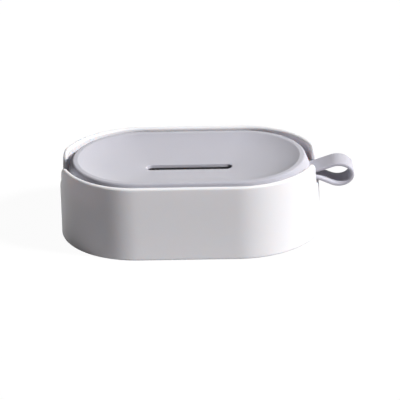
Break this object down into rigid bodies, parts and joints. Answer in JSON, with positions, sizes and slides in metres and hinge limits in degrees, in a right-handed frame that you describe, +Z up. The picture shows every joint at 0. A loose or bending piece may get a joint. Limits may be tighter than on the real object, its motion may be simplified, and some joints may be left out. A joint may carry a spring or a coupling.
{
  "type": "wall-mounted soap box",
  "caption": "Stadium-shaped soap case with a dished lift-out draining tray, a rubber pull strap at one end and a stick-on hook plate on its flat back.",
  "frame": {"origin": "middle of the case's flat base, under the crossing of the stadium's two axes of symmetry", "axes": "+Z up, +X along the case towards the pull strap, +Y towards the wall"},
  "size_m": [0.1589, 0.0898, 0.042],
  "materials": {
    "white_case": "satin moulded white ABS",
    "grey_tray": "matte grey polypropylene",
    "grey_rubber": "matte grey thermoplastic rubber",
    "natural_nylon": "uncoloured nylon",
    "white_hook": "moulded white ABS",
    "adhesive_foam": "closed-cell adhesive foam"
  },
  "bodies": {
    "case": {"outer_case": "white_case"},
    "tray": {"soap_tray": "grey_tray", "strap_tail": "grey_rubber", "strap_pin": "natural_nylon"},
    "strap": {"strap_loop": "grey_rubber"},
    "hanger": {"wall_hook": "white_hook", "adhesive_pad": "adhesive_foam"}
  },
  "joints": [
    {"name": "tray_lift", "type": "slide", "parent": "case", "child": "tray", "axis": [0, 0, 1], "range_m": [0, 0.04]},
    {"name": "strap_flex", "type": "hinge", "parent": "tray", "child": "strap", "pos_m": [0.067, 0, 0.0336], "axis": [0, -1, 0], "range_deg": [-10, 50], "stiffness_Nm_per_rad": 0.012},
    {"name": "hanger_slide", "type": "slide", "parent": "case", "child": "hanger", "axis": [0, 0, -1], "range_m": [0, 0.0081]}
  ]
}
